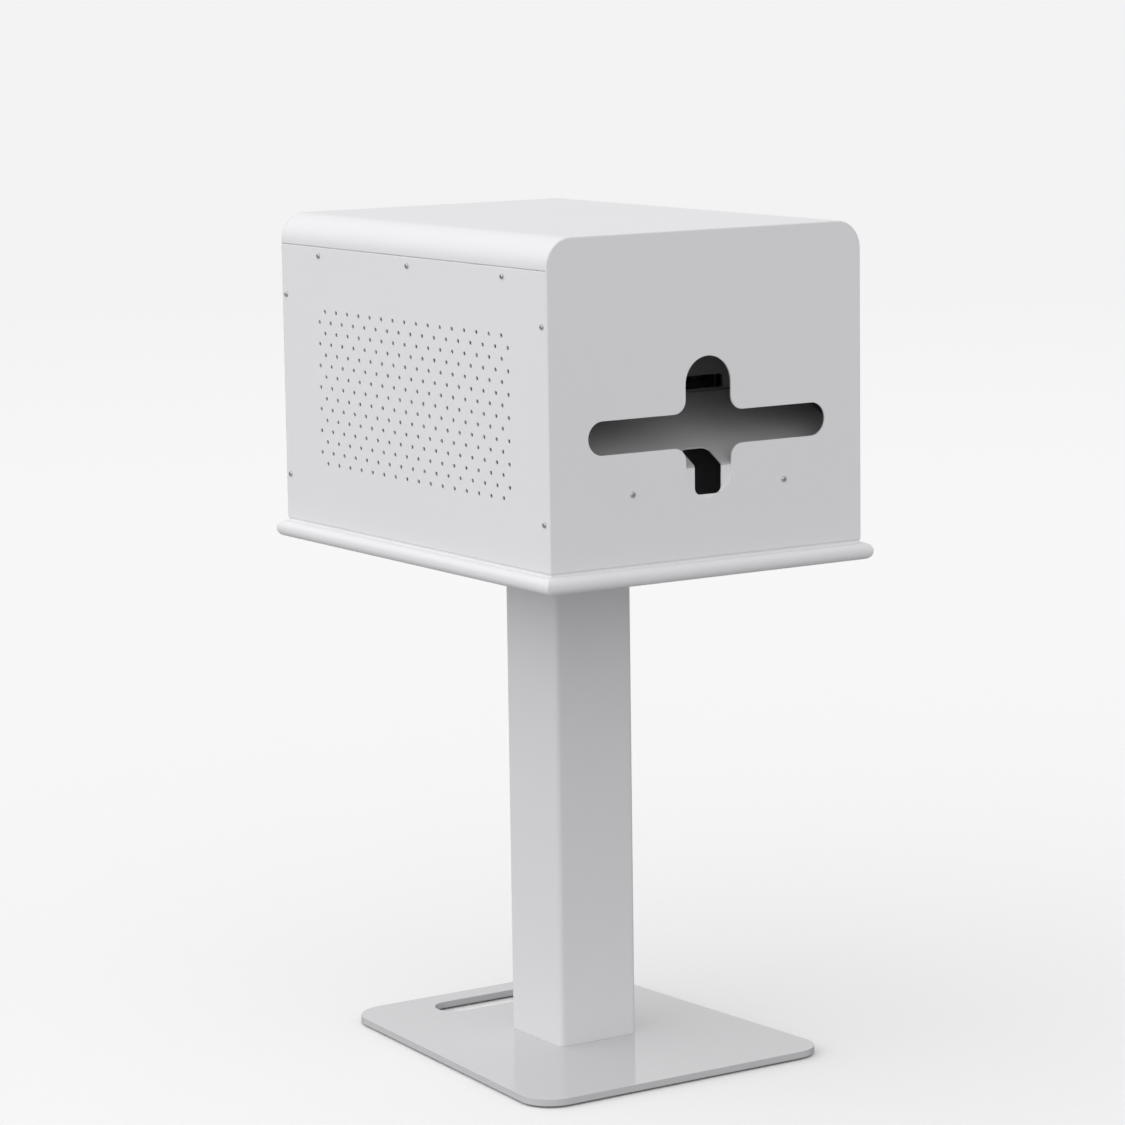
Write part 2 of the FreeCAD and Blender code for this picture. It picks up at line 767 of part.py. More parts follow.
def lock_plug():
    """Key plug with a blade slot outside and a square tail for the cam inside."""
    outside = rear + lock_head_height
    plug = rod(lock_plug_size - 2 * running_gap, outside - cam_rear, V(lock_x, cam_rear, lock_z), Y_AXIS)
    half = cam_square / 2
    tail = box(lock_x - half, lock_x + half, cam_rear - cam_thickness - cam_nut_height - 0.5, cam_rear,
               lock_z - half, lock_z + half)
    key_slot = box(lock_x - 1.0, lock_x + 1.0, outside - 3.0, outside + 1, lock_z - 4.2, lock_z + 4.2)
    return joined([plug, tail]).cut(key_slot)


def square_hole(y0, y1):
    """Hole for the plug's square tail, with a little play."""
    half = cam_square / 2 + lap_gap
    return box(lock_x - half, lock_x + half, y0, y1, lock_z - half, lock_z + half)


def lock_cam():
    """Latch plate that hangs down when the door is free and turns behind the strike to hold it."""
    y0 = cam_rear - cam_thickness
    end = cam_length - cam_width / 2
    arm = joined([
        rod(cam_width, cam_thickness, V(lock_x, y0, lock_z), Y_AXIS),
        box(lock_x - cam_width / 2, lock_x + cam_width / 2, y0, cam_rear, lock_z - end, lock_z),
        rod(cam_width, cam_thickness, V(lock_x, y0, lock_z - end), Y_AXIS),
    ])
    return arm.cut(square_hole(y0 - 1, cam_rear + 1))


def lock_cam_nut():
    y0 = cam_rear - cam_thickness - cam_nut_height
    nut = hex_prism(13.0, cam_nut_height, V(lock_x, y0, lock_z), Y_AXIS)
    return nut.cut(square_hole(y0 - 1, y0 + cam_nut_height + 1))


def lock_strike():
    """Channel welded behind the frame's border; the cam turns behind its web."""
    x0 = opening_right + 3.0
    x1 = lap_x - sheet - 2.0
    y0 = cam_rear + 0.4
    low = lock_z - strike_height / 2
    high = lock_z + strike_height / 2
    block = box(x0, x1, y0, inner_rear, low, high)
    return block.cut(box(x0 - 1, x1 + 1, y0 + sheet, inner_rear + 1, low + sheet, high - sheet))


# ---- Printer ----

half_case = printer_width / 2
frame_x = media_width / 2 + media_frame_gap
bay_x = (frame_x + media_frame_sheet + half_case) / 2
base_plate_top = case_low + sheet
paper_y = case_rear - paper_roll_from_rear
paper_z = case_low + paper_roll_height
ribbon_z = case_top - case_wall - 4.0 - ribbon_supply_size / 2
platen_y = case_front + 118.0
platen_z = paper_line - platen_size / 2
supply_y = platen_y + 37.0
takeup_y = platen_y - 43.0
exit_y = case_front + bezel_thickness + 24.0
exit_low_z = paper_line - exit_roller_size / 2
exit_high_z = paper_line + paper_gap + exit_roller_size / 2
axle_places = [(paper_y, paper_z), (supply_y, ribbon_z), (takeup_y, ribbon_z), (platen_y, platen_z),
               (exit_y, exit_low_z), (exit_y, exit_high_z)]
fan_z = paper_line - 4.0
motor_length = half_case - case_wall - frame_x - media_frame_sheet - motor_side_gap
inlet_z = case_low + 33.0
switch_z = case_low + 73.0


def printer_feet():
    inset = 28.0
    return [rod(18.0, printer_foot, V(sx * (half_case - inset), y, shelf_top), Z_AXIS)
            for sx in (-1, 1) for y in (case_front + inset, case_rear - inset)]


def printer_base():
    """Pan under the printer with upturned sides inside the cover."""
    half = half_case - case_wall - lap_gap
    pieces = [box(-half, half, case_front + bezel_thickness, case_rear - case_wall - lap_gap,
                  case_low, base_plate_top)]
    for side in (-1, 1):
        wall = sorted((side * half, side * (half - sheet)))
        pieces.append(box(wall[0], wall[1], case_front + bezel_thickness, case_rear - case_wall - lap_gap,
                          case_low, case_low + 22))
    return joined(pieces)


def printer_cover():
    """Top, sides and rear in one folded sheet."""
    y0 = case_front + bezel_thickness
    outer = box(-half_case, half_case, y0, case_rear, case_low + 2, case_top)
    outer = outer.makeFillet(4.0, edges_at(outer, Y_AXIS, lambda c: c.z > case_top - 1))
    inner = box(-half_case + case_wall, half_case - case_wall, y0 - 1, case_rear - case_wall,
                case_low, case_top - case_wall)
    inner = inner.makeFillet(4.0 - case_wall, edges_at(inner, Y_AXIS, lambda c: c.z > case_top - 2))
    tools = [inner]
    for step in range(-2, 3):
        half = math.sqrt((fan_size / 2 - 2) ** 2 - (step * 6.0) ** 2)
        tools.append(box(fan_from_middle - half, fan_from_middle + half, case_rear - 3, case_rear + 1,
                         fan_z + step * 6.0 - 1.6, fan_z + step * 6.0 + 1.6))
    for width, height, z in ((28.0, 20.0, inlet_z), (15.0, 21.0, switch_z)):
        tools.append(box(-bay_x - width / 2, -bay_x + width / 2, case_rear - 3, case_rear + 1,
                         z - height / 2, z + height / 2))
    return less(outer, tools)


def printer_bezel():
    plate = stand_up(rounded_plate(printer_width, printer_height - 2, 4.0, bezel_thickness),
                     0, case_front + bezel_thickness, (case_low + 2 + case_top) / 2)
    mouth = stand_up(rounded_plate(outlet_width, outlet_gap, 3.0, bezel_thickness + 2),
                     0, case_front + bezel_thickness + 1, paper_line)
    return plate.cut(mouth)


def printer_front_door():
    """Media door below the outlet, with a finger recess along its top edge."""
    top = paper_line - outlet_gap / 2 - 5.0
    low = case_low + 8.0
    plate = stand_up(rounded_plate(printer_width - 24, top - low, 3.0, 2.5), 0, case_front, (top + low) / 2)
    recess = stand_up(rounded_plate(70.0, 14.0, 4.0, 2.0), 0, case_front - 1.2, top - 10.0)
    return plate.cut(recess)


def media_frame(side):
    """Side plate that carries the rolls and rollers."""
    x = sorted((side * frame_x, side * (frame_x + media_frame_sheet)))
    low = base_plate_top
    high = case_top - case_wall - 2.0
    y0 = case_front + bezel_thickness + 6.0
    y1 = case_rear - 10.0
    plate = prism_x([(y0, low), (y1, low), (y1, high - 25), (y1 - 25, high), (y0, high)], x[0], x[1])
    reach = 3 * media_frame_sheet
    tools = [rod(axle, reach, V(side * (frame_x - media_frame_sheet), y, z), X_AXIS * side)
             for y, z in axle_places]
    return less(plate, tools)


def roller(diameter, y, z, half_length):
    """Round body with an axle that runs in the two side plates."""
    end = frame_x + media_frame_sheet + 2.0
    return joined([
        rod(diameter, 2 * half_length, V(-half_length, y, z), X_AXIS),
        rod(axle - 2 * running_gap, 2 * end, V(-end, y, z), X_AXIS),
    ])


def paper_roll():
    half = media_width / 2
    roll = rod(paper_roll_size, media_width, V(-half, paper_y, paper_z), X_AXIS)
    return roll.cut(rod(paper_hub + 0.2, media_width + 2, V(-half - 1, paper_y, paper_z), X_AXIS))


def ribbon_spool(diameter, y):
    """Wound ribbon between two thin flanges on a core."""
    half = media_width / 2
    winding = rod(diameter - 6, media_width, V(-half, y, ribbon_z), X_AXIS)
    pieces = [roller(ribbon_core, y, ribbon_z, half + 3), winding]
    for x in (-half - 2, half):
        pieces.append(rod(diameter, 2.0, V(x, y, ribbon_z), X_AXIS))
    return joined(pieces)


def print_head():
    """Thermal head bar above the platen, with a finned back."""
    low = paper_line + paper_gap
    bar = box(-frame_x, frame_x, platen_y - 12, platen_y + 12, low + 4, low + 12)
    nose = box(-media_width / 2, media_width / 2, platen_y - 4, platen_y + 4, low, low + 5)
    fins = [box(-media_width / 2, media_width / 2, y - 1, y + 1, low + 11, low + 17)
            for y in (platen_y - 6, platen_y, platen_y + 6)]
    return joined([bar, nose] + fins)


def paper_cutter():
    y0 = exit_y + 12.0
    block = box(-frame_x, frame_x, y0, y0 + 9, paper_line - 15, paper_line + 17)
    return block.cut(box(-media_width / 2 - 2, media_width / 2 + 2, y0 - 1, y0 + 10,
                         paper_line - 2, paper_line + 3.5))


def control_board():
    """Board on four spacers in the right bay, with its larger parts."""
    face = frame_x + media_frame_sheet
    x = face + 12.0
    y0 = platen_y - 20
    y1 = platen_y + 110
    z0 = case_low + 40
    z1 = case_low + 122
    pieces = [box(x, x + 1.6, y0, y1, z0, z1)]
    for y in (y0 + 6, y1 - 6):
        for z in (z0 + 6, z1 - 6):
            pieces.append(rod(6.0, 12.2, V(face, y, z), X_AXIS))
    for k in range(3):
        pieces.append(rod(10.0, 13.0, V(x + 1, y0 + 22 + 14 * k, z0 + 18), X_AXIS))
    pieces.append(box(x + 1, x + 4, y0 + 62, y0 + 86, z0 + 34, z0 + 58))
    pieces.append(box(x + 1, x + 9, y0 + 20, y0 + 52, z0 + 58, z0 + 68))
    return joined(pieces)


def drive_motor():
    face = -(frame_x + media_frame_sheet)
    y = platen_y + 42
    z = case_low + 46
    half = motor_size / 2
    can = box(face - motor_length, face, y - half, y + half, z - half, z + half)
    can = can.makeFillet(3.0, edges_at(can, X_AXIS, lambda c: True))
    return joined([can, rod(22.0, 2.0, V(face - motor_length - 1.5, y, z), X_AXIS)])


fan_front = case_rear - case_wall - fan_depth


def box_at_fan(half_x, half_z, y0, y1):
    x = fan_from_middle
    return box(x - half_x, x + half_x, y0, y1, fan_z - half_z, fan_z + half_z)


def fan_frame():
    half = fan_size / 2
    back = fan_front + fan_depth
    arm = half - 0.6
    shell = box_at_fan(half, half, fan_front, back)
    shell = shell.makeFillet(3.0, edges_at(shell, Y_AXIS, lambda c: True))
    shell = shell.cut(rod(fan_size - 2.4, fan_depth + 2, V(fan_from_middle, fan_front - 1, fan_z), Y_AXIS))
    spokes = [box_at_fan(arm, 1.2, back - 1.6, back), box_at_fan(1.2, arm, back - 1.6, back)]
    hub = rod(14.0, 1.6, V(fan_from_middle, back - 1.6, fan_z), Y_AXIS)
    pin = rod(4.0, fan_depth - 3.0, V(fan_from_middle, fan_front + 3.0, fan_z), Y_AXIS)
    return joined([shell, hub, pin] + spokes)


def fan_rotor():
    y0 = fan_front + 1.0
    depth = fan_depth - 4.0
    radius = fan_size / 2 - 2.4
    pieces = [rod(14.0, depth, V(fan_from_middle, y0, fan_z), Y_AXIS)]
    for k in range(fan_blades):
        blade = box(-3.6, 3.6, -0.5, 0.5, 5.0, radius - 0.4)
        blade.rotate(V(0, 0, 0), Z_AXIS, 38)
        blade.translate(V(0, y0 + depth / 2, 0))
        blade.rotate(V(0, 0, 0), Y_AXIS, 360.0 * k / fan_blades)
        blade.translate(V(fan_from_middle, 0, fan_z))
        pieces.append(blade)
    rotor = joined(pieces)
    return rotor.cut(rod(4.0 + 2 * running_gap, depth, V(fan_from_middle, y0 + 2.0, fan_z), Y_AXIS))


def power_inlet():
    """Appliance inlet with three flat pins, in the rear wall."""
    y = case_rear
    flange_plate = box(-bay_x - 22, -bay_x + 22, y, y + 2, inlet_z - 12, inlet_z + 12)
    body = box(-bay_x - 13.5, -bay_x + 13.5, y - 20, y + 1, inlet_z - 9.5, inlet_z + 9.5)
    recess = box(-bay_x - 12, -bay_x + 12, y - 16, y + 3, inlet_z - 8, inlet_z + 8)
    shell = joined([flange_plate, body]).cut(recess)
    pins = [box(-bay_x + dx - 1, -bay_x + dx + 1, y - 17, y - 5, inlet_z + dz - 2, inlet_z + dz + 2)
            for dx, dz in ((-7, -2), (0, 2), (7, -2))]
    return joined([shell] + pins)


def switch_frame():
    y = case_rear
    outer = joined([
        box(-bay_x - 9.5, -bay_x + 9.5, y, y + 1.5, switch_z - 12.5, switch_z + 12.5),
        box(-bay_x - 7.2, -bay_x + 7.2, y - 14, y + 1, switch_z - 10.2, switch_z + 10.2),
    ])
    cavity = box(-bay_x - 6, -bay_x + 6, y - 11, y + 3, switch_z - 9, switch_z + 9)
    pin_hole = rod(2.0, 30, V(-bay_x - 15, y - 3, switch_z), X_AXIS)
    return less(outer, [cavity, pin_hole])


def power_rocker():
    """Rocker at its off position; it tips about its cross pin."""
    y = case_rear - 3.0
    slab = box(-bay_x - 5.6, -bay_x + 5.6, y - 2.5, y + 3.2, switch_z - 7.6, switch_z + 7.6)
    slab.rotate(V(-bay_x, y, switch_z), X_AXIS, 11)
    pin = rod(2.0 - 2 * running_gap, 13.6, V(-bay_x - 6.8, y, switch_z), X_AXIS)
    return joined([slab, pin])


# ---- Write every piece ----

def main():
    os.makedirs("parts", exist_ok=True)
    save("base_pads", base_pads())
    save("base_plate", base_plate())
    save("base_bolts", base_bolts())
    save("post_tube", post_tube())
    save("post_foot_plate", post_plate(base_top, False))
    save("post_head_plate", post_plate(tray_low - post_plate_thickness, True))
    post_grommet_place = V(0, post_width / 2 - post_wall, base_top + cable_hole_height)
    save("post_grommet", grommet(post_wall, cable_hole, cable_bore, 3.0, 2.0, post_grommet_place, Y_AXIS))
    save("head_bolts", head_bolts())
    save("floor_grommet", floor_grommet())

    save("cabinet_tray", cabinet_tray())
    save("tray_doubler", tray_doubler())
    save("tray_screws", tray_screws())
    save("front_panel", front_panel())
    save("rear_frame", rear_frame())
    save("top_cover", top_cover())
    for side, word in ((-1, "left"), (1, "right")):
        save("side_panel_" + word, side_panel(side))
        save("side_screws_" + word, side_screws(side))
    save("vent_filters", vent_filters())
    save("print_chute", print_chute())
    save("chute_screws", chute_screws())
    save("chute_nuts", chute_nuts())
    save("printer_shelf", printer_shelf())
    save("shelf_screws", shelf_screws())

    save("rear_door", rear_door())
    save("hinge_leaf_frame", hinge_leaf(-1, hinge_pin_size))
    save("hinge_leaf_door", hinge_leaf(1, hinge_pin_size + 2 * running_gap))
    save("hinge_rivets_frame", hinge_rivets(-1))
    save("hinge_rivets_door", hinge_rivets(1))
    save("hinge_pin", hinge_pin())
    save("lock_body", lock_body())
    save("lock_nut", lock_nut())
    save("lock_plug", lock_plug())
    save("lock_cam", lock_cam())
    save("lock_cam_nut", lock_cam_nut())
    save("lock_strike", lock_strike())

    save("printer_feet", printer_feet())
    save("printer_base", printer_base())
    save("printer_cover", printer_cover())
    save("printer_bezel", printer_bezel())
    save("printer_front_door", printer_front_door())
    for side, word in ((-1, "left"), (1, "right")):
        save("media_frame_" + word, media_frame(side))
    save("paper_roll", paper_roll())
    save("paper_hub", roller(paper_hub, paper_y, paper_z, media_width / 2 + 4))
    save("ribbon_supply", ribbon_spool(ribbon_supply_size, supply_y))
    save("ribbon_takeup", ribbon_spool(ribbon_takeup_size, takeup_y))
    save("platen_roller", roller(platen_size, platen_y, platen_z, media_width / 2 + 2))
    save("exit_roller_lower", roller(exit_roller_size, exit_y, exit_low_z, media_width / 2))
    save("exit_roller_upper", roller(exit_roller_size, exit_y, exit_high_z, media_width / 2))
    save("print_head", print_head())
    save("paper_cutter", paper_cutter())
    save("control_board", control_board())
    save("drive_motor", drive_motor())
    save("fan_frame", fan_frame())
    save("fan_rotor", fan_rotor())
    save("power_inlet", power_inlet())
    save("switch_frame", switch_frame())
    save("power_rocker", power_rocker())


main()
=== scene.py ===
import json
import math

import bmesh
import bpy
from mathutils import Matrix, Vector


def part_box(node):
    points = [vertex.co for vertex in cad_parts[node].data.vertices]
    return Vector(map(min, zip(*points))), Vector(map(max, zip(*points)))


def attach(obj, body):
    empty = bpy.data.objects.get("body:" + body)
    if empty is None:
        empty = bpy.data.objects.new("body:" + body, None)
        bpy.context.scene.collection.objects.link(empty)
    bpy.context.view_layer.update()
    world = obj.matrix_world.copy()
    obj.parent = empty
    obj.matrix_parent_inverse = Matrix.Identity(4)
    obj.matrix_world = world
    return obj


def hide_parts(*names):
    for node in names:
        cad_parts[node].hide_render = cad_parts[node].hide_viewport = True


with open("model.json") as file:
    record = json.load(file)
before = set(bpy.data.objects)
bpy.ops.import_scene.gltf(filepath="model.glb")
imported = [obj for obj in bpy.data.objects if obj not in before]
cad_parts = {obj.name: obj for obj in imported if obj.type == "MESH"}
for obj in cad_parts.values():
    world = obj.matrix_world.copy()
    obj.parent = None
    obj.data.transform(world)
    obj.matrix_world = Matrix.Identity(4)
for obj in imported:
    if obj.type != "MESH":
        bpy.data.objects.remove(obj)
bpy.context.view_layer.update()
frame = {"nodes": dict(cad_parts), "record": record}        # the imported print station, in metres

CABINET = "cabinet"
DOOR = "rear_door"

# ---- Sizes, in metres ----

SHEET = 0.0015                 # cabinet sheet steel
LAP = 0.0001                   # gap between two lapped sheets
SHOULDER = 0.025               # radius of the cabinet's round shoulders
EDGE = 0.0003                  # softened edge of a coated sheet
FINE_EDGE = 0.0002             # softened edge of the tray and the side panels
PAST = 0.010                   # how far a cutter runs past the wall that it cuts
LAP_DROP = 0.018               # how far the top reaches down behind the side panels
LAP_END = 0.2075               # half the length of that lap
SEAM_EDGE = 0.0007             # rounded edges along the seam
SLOT = (0.250, 0.0295, 0.1145)             # print slot: length, height, centre above the rim
NOTCH = (0.048, 0.055, 0.178)              # finger notch: width, bottom and top above the rim
OPENING_FILLET = 0.012
VENT = (0.0019, 0.020, 0.062, 0.0605)      # hole radius, pitch, first hole from the front, above the rim
VENT_REACH = 0.004             # how far the vent cutters stand out on both sides of a wall
VENT_ROWS = 15
VENT_COLUMNS = 17
TRAY_BEND = 0.007
WALL_GROOVE = (0.0035, 0.0010)             # groove above the rim: height, depth
CORNER_BEND = 0.0013                       # rounded outer edge of the front and rear panels
RAMP_BEND = (0.083, 0.0025)                # bend of the print ramp: height above the rim, radius
RAMP_SHEET = 0.0012
RAMP_GAP = 0.005                           # gap between the ramp's end and the printer
RAMP_SIDE = 0.010
FINGER = (0.028, 0.0575, 0.0225, 0.006)    # notch in the ramp: width, bottom above the rim, depth, corner
SCREW_HEAD = (0.0027, 0.0015)              # radius, height
SCREW_SHANK = (0.0017, 0.006)
DOOR_CORNER = 0.003
DOOR_GAP = 0.0012
LOCK_HOLE = 0.0091
TRAY_GROOVE = 0.0006
POST_CORNER = 0.005
POST_WALL = 0.0025
CABLE_HOLE = 0.011             # radius of the hole in the post
PLATE_CORNER = 0.032
PLATE_EDGE = 0.0008
PLATE_BACK = 0.268             # floor plate's width at the back, before its corners are rounded
PLATE_FRONT = 0.316
HAND_SLOT = (0.125, 0.038, 0.0435)         # length, width, centre from the back edge
PAD_RADIUS = 0.015
PAD_EDGE = 0.0004

tray_low, tray_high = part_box("cabinet_tray")
panel_low, panel_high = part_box("front_panel")
post_low, post_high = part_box("post_tube")
half_width = panel_high.x
front = panel_low.y
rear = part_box("rear_frame")[1].y
rim = tray_high.z
top = panel_high.z
tray_floor = panel_low.z
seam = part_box("top_cover")[0].z + LAP_DROP
slot_z = rim + SLOT[2]


# ---- Modelling helpers ----

def use(obj):
    """Makes one piece the only selected and active one."""
    bpy.ops.object.select_all(action="DESELECT")
    obj.select_set(True)
    bpy.context.view_layer.objects.active = obj


def settle(obj):
    use(obj)
    bpy.ops.object.transform_apply(location=True, rotation=True, scale=True)
    return obj


def block(low, high):
    """A box between two corners, as a start to shape."""
    low, high = Vector(low), Vector(high)
    bpy.ops.object.select_all(action="DESELECT")
    bpy.ops.mesh.primitive_cube_add(size=1, location=(low + high) / 2)
    bpy.ops.transform.resize(value=high - low)
    return settle(bpy.context.object)


def bar(radius, start, end, vertices=32):
    """A round bar between two points, as a start to shape."""
    start, end = Vector(start), Vector(end)
    along = end - start
    turn = along.to_track_quat("Z", "Y").to_euler()
    bpy.ops.object.select_all(action="DESELECT")
    bpy.ops.mesh.primitive_cylinder_add(
        vertices=vertices, radius=radius, depth=along.length, location=(start + end) / 2, rotation=turn)
    return settle(bpy.context.object)


def pick(obj, kind, test):
    """Opens a piece for editing with only the vertices, edges or faces that pass a test selected."""
    use(obj)
    bpy.ops.object.mode_set(mode="EDIT")
    bpy.ops.mesh.select_mode(type=kind)
    bpy.ops.mesh.select_all(action="DESELECT")
    mesh = bmesh.from_edit_mesh(obj.data)
    mesh.normal_update()
    chosen = {"VERT": mesh.verts, "EDGE": mesh.edges, "FACE": mesh.faces}[kind]
    for part in chosen:
        if test(part):
            part.select_set(True)
    bmesh.update_edit_mesh(obj.data)


def done():
    bpy.ops.object.mode_set(mode="OBJECT")


def middle(edge):
    return (edge.verts[0].co + edge.verts[1].co) / 2


def runs_along(edge, axis):
    span = edge.verts[1].co - edge.verts[0].co
    return abs(span[axis]) > 0.999 * span.length


def near(a, b, gap=0.00005):
    return abs(a - b) < gap


def round_edges(obj, test, radius, segments):
    pick(obj, "EDGE", test)
    bpy.ops.mesh.bevel(offset=radius, segments=segments, profile=0.5, affect="EDGES")
    done()


def remove_faces(obj, test):
    pick(obj, "FACE", test)
    bpy.ops.mesh.delete(type="FACE")
    done()


def modify(obj, kind, **settings):
    """Adds a modifier with its settings and applies it."""
    use(obj)
    modifier = obj.modifiers.new(kind.title(), kind)
    for name, value in settings.items():
        setattr(modifier, name, value)
    bpy.ops.object.modifier_apply(modifier=modifier.name)


def thicken(obj, thickness):
    """Gives an open sheet its thickness on the inner side."""
    modify(obj, "SOLIDIFY", thickness=thickness, offset=-1, use_even_offset=True)


def cut(obj, cutter):
    modify(obj, "BOOLEAN", object=cutter, operation="DIFFERENCE", solver="EXACT")
    bpy.data.objects.remove(cutter)


def join(pieces):
    use(pieces[0])
    for piece in pieces[1:]:
        piece.select_set(True)
    if len(pieces) > 1:
        bpy.ops.object.join()
    return bpy.context.object


def soften(obj, width=EDGE, segments=2, angle=35):
    """Rounds every crisp edge a little and shades the piece smooth between them."""
    limit = math.radians(angle)
    modify(obj, "BEVEL", width=width, segments=segments, limit_method="ANGLE", angle_limit=limit)
    use(obj)
    bpy.ops.object.shade_smooth_by_angle(angle=math.radians(40))
    modify(obj, "WEIGHTED_NORMAL", keep_sharp=True, weight=60)


def stadium(length, width, depth, centre, axis):
    """Cutter with full-round ends: length along X, width along Z or Y, pushed through along the axis."""
    half = Vector((length / 2, depth / 2, width / 2))
    if axis == "Z":
        half = Vector((length / 2, width / 2, depth / 2))
    if axis == "Y_TALL":
        half = Vector((width / 2, depth / 2, length / 2))
    through = 2 if axis == "Z" else 1
    tool = block(Vector(centre) - half, Vector(centre) + half)
    round_edges(tool, lambda e: runs_along(e, through), width / 2 * 0.9999, 12)
    return tool


def keep(obj, name, body, slot, material, *nodes):
    """Names a finished piece and says what it rides on, what it is made of and what it stands for."""
    obj.name = name
    obj.data.name = name
    obj.data.materials.clear()
    obj.data.materials.append(material)
    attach(obj, body)
    if nodes:
        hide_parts(*nodes)


# ---- Materials ----

def group(name, inputs, outputs):
    """An empty shader node group with named number inputs and outputs."""
    tree = bpy.data.node_groups.new(name, "ShaderNodeTree")
    for socket, value in inputs.items():
        made = tree.interface.new_socket(socket, in_out="INPUT", socket_type="NodeSocketFloat")
        made.default_value = value
    for socket in outputs:
        tree.interface.new_socket(socket, in_out="OUTPUT", socket_type="NodeSocketFloat")
    return tree


def node(tree, kind, **inputs):
    made = tree.nodes.new("ShaderNode" + kind)
    for name, value in inputs.items():
        made.inputs[name].default_value = value
    return made


def powder_group():
    """Orange peel of baked powder: low waves, fine grain and a faint patchy tone."""
    tree = group("powder coat", {"Wave size": 1.0, "Wave": 0.6, "Grain": 0.25}, ["Height", "Tone", "Gloss"])
    given = tree.nodes.new("NodeGroupInput")
    result = tree.nodes.new("NodeGroupOutput")
    place = node(tree, "TexCoord")
    wave = node(tree, "TexNoise", Detail=2.0, Roughness=0.45)
    grain = node(tree, "TexNoise", Scale=3200.0, Detail=1.0)
    patch = node(tree, "TexNoise", Scale=5.0, Detail=3.0)
    wave_size = node(tree, "Math")
    wave_size.operation = "DIVIDE"
    wave_size.inputs[0].default_value = 620.0
    tree.links.new(given.outputs["Wave size"], wave_size.inputs[1])
    tree.links.new(wave_size.outputs[0], wave.inputs["Scale"])
    for texture in (wave, grain, patch):
        tree.links.new(place.outputs["Object"], texture.inputs["Vector"])
    wave_part = node(tree, "Math")
    wave_part.operation = "MULTIPLY"
    grain_part = node(tree, "Math")
    grain_part.operation = "MULTIPLY_ADD"
    tree.links.new(wave.outputs["Fac"], wave_part.inputs[0])
    tree.links.new(given.outputs["Wave"], wave_part.inputs[1])
    tree.links.new(grain.outputs["Fac"], grain_part.inputs[0])
    tree.links.new(given.outputs["Grain"], grain_part.inputs[1])
    tree.links.new(wave_part.outputs[0], grain_part.inputs[2])
    tree.links.new(grain_part.outputs[0], result.inputs["Height"])
    tree.links.new(patch.outputs["Fac"], result.inputs["Tone"])
    tree.links.new(wave.outputs["Fac"], result.inputs["Gloss"])
    return tree


POWDER = powder_group()


def surface(name, colour, roughness, metallic=0.0, spread=0.02, gloss_spread=0.05,
            wave_size=1.0, wave=0.6, grain=0.25, bump=0.15, depth=0.00006, **shader):
    """A finish with a slightly uneven tone and gloss and a fine relief."""
    material = bpy.data.materials.new(name)
    material.use_nodes = True
    tree = material.node_tree
    skin = tree.nodes["Principled BSDF"]
    skin.inputs["Metallic"].default_value = metallic
    for socket, value in shader.items():
        skin.inputs[socket.replace("_", " ")].default_value = value
    relief = tree.nodes.new("ShaderNodeGroup")
    relief.node_tree = POWDER
    relief.inputs["Wave size"].default_value = wave_size
    relief.inputs["Wave"].default_value = wave
    relief.inputs["Grain"].default_value = grain
    tone = tree.nodes.new("ShaderNodeMix")
    tone.data_type = "RGBA"
    low = [c * (1 - spread) for c in colour]
    high = [min(c * (1 + spread), 1) for c in colour]
    tone.inputs[6].default_value = (*low, 1)
    tone.inputs[7].default_value = (*high, 1)
    tree.links.new(relief.outputs["Tone"], tone.inputs[0])
    tree.links.new(tone.outputs[2], skin.inputs["Base Color"])
    gloss = tree.nodes.new("ShaderNodeMapRange")
    gloss.inputs["To Min"].default_value = roughness - gloss_spread
    gloss.inputs["To Max"].default_value = roughness + gloss_spread
    tree.links.new(relief.outputs["Gloss"], gloss.inputs["Value"])
    tree.links.new(gloss.outputs["Result"], skin.inputs["Roughness"])
    dent = tree.nodes.new("ShaderNodeBump")
    dent.inputs["Strength"].default_value = bump
    dent.inputs["Distance"].default_value = depth
    tree.links.new(relief.outputs["Height"], dent.inputs["Height"])
    tree.links.new(dent.outputs["Normal"], skin.inputs["Normal"])
    return material


WHITE = surface("white powder coat", (0.832, 0.832, 0.852), 0.46,
                spread=0.012, bump=0.5, Specular_IOR_Level=0.4)
# Painted shade: the post gets a darker copy of the white coat, standing in for the shade under the cabinet.
POST_WHITE_WITH_PAINTED_SHADE = surface("white powder coat on the post, darkened as painted shade", (0.75, 0.75, 0.768), 0.46,
                     spread=0.012, bump=0.5, Specular_IOR_Level=0.4)
# Painted shade: the floor plate gets a darker copy of the white coat, standing in for the shade under the
# cabinet; its gloss is its own.
PLATE_WHITE_WITH_PAINTED_SHADE = surface("white powder coat on the floor plate", (0.62, 0.62, 0.635), 0.11,
                      spread=0.012, bump=0.25)
# Painted shade: the ramp inside the cabinet gets a much darker copy of the white coat, standing in for the
# shade in there.
RAMP_WHITE_WITH_PAINTED_SHADE = surface("thin powder coat inside the cabinet", (0.42, 0.42, 0.43), 0.5, spread=0.012, bump=0.5)
ZINC = surface("zinc plated sheet", (0.60, 0.61, 0.62), 0.36, metallic=1.0, spread=0.12, wave_size=6.0)
SCREW = surface("plated screw steel", (0.56, 0.56, 0.57), 0.45, metallic=1.0, spread=0.06, bump=0.03)
STAINLESS = surface("stainless steel", (0.80, 0.80, 0.79), 0.38, metallic=1.0, spread=0.03, bump=0.01)
CHROME = surface("polished chrome", (0.80, 0.81, 0.82), 0.14, metallic=1.0, spread=0.02,
                 gloss_spread=0.02, bump=0.01)
RUBBER = surface("black rubber", (0.022, 0.022, 0.022), 0.72, spread=0.2, bump=0.4)
PRINTER_PAINT = surface("dark textured paint", (0.20, 0.201, 0.206), 0.55, spread=0.1, bump=0.6)
